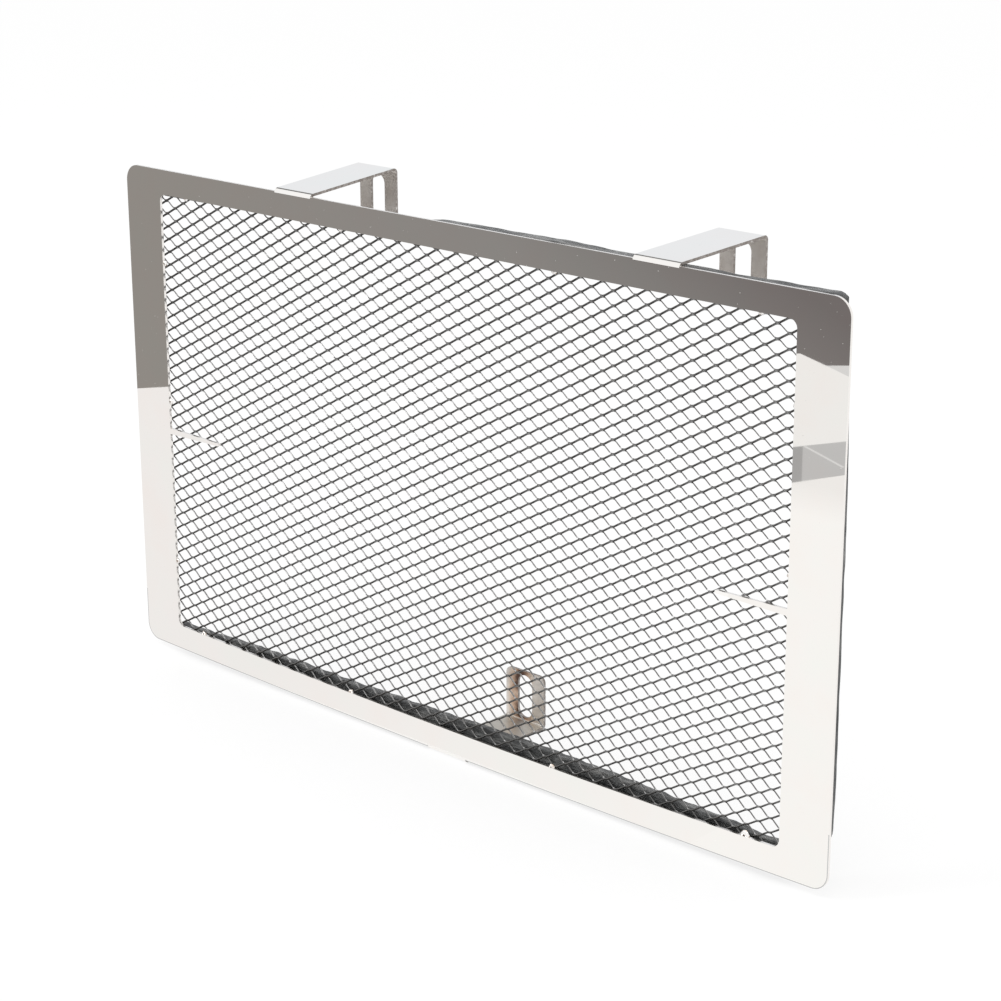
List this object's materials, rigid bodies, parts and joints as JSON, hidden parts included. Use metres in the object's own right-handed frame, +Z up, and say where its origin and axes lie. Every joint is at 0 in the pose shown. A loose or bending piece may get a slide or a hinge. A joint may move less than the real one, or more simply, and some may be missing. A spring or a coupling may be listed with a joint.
{
  "type": "motorcycle radiator guard",
  "caption": "Folded stainless frame with a black expanded-metal panel, top hooks and a bottom tab, made to hang in front of a motorcycle's radiator.",
  "frame": {"origin": "centre of the guard's footprint, at the height of the bottom tab's underside", "axes": "+X across the guard to the right seen from the front, +Y back towards the radiator, +Z up"},
  "size_m": [0.4, 0.0538, 0.2384],
  "materials": {
    "polished_steel": "mirror-polished stainless sheet",
    "black_mesh": "semi-gloss black paint",
    "weld_metal": "bare weld with a brown heat tint",
    "black_foam": "black foam rubber with a shiny skin"
  },
  "bodies": {
    "root": {"frame_sheet": "polished_steel", "mesh_panel": "black_mesh", "tack_welds": "weld_metal", "foam_strip_top": "black_foam", "foam_strip_bottom": "black_foam", "foam_strip_left": "black_foam", "foam_strip_right": "black_foam"}
  },
  "joints": []
}
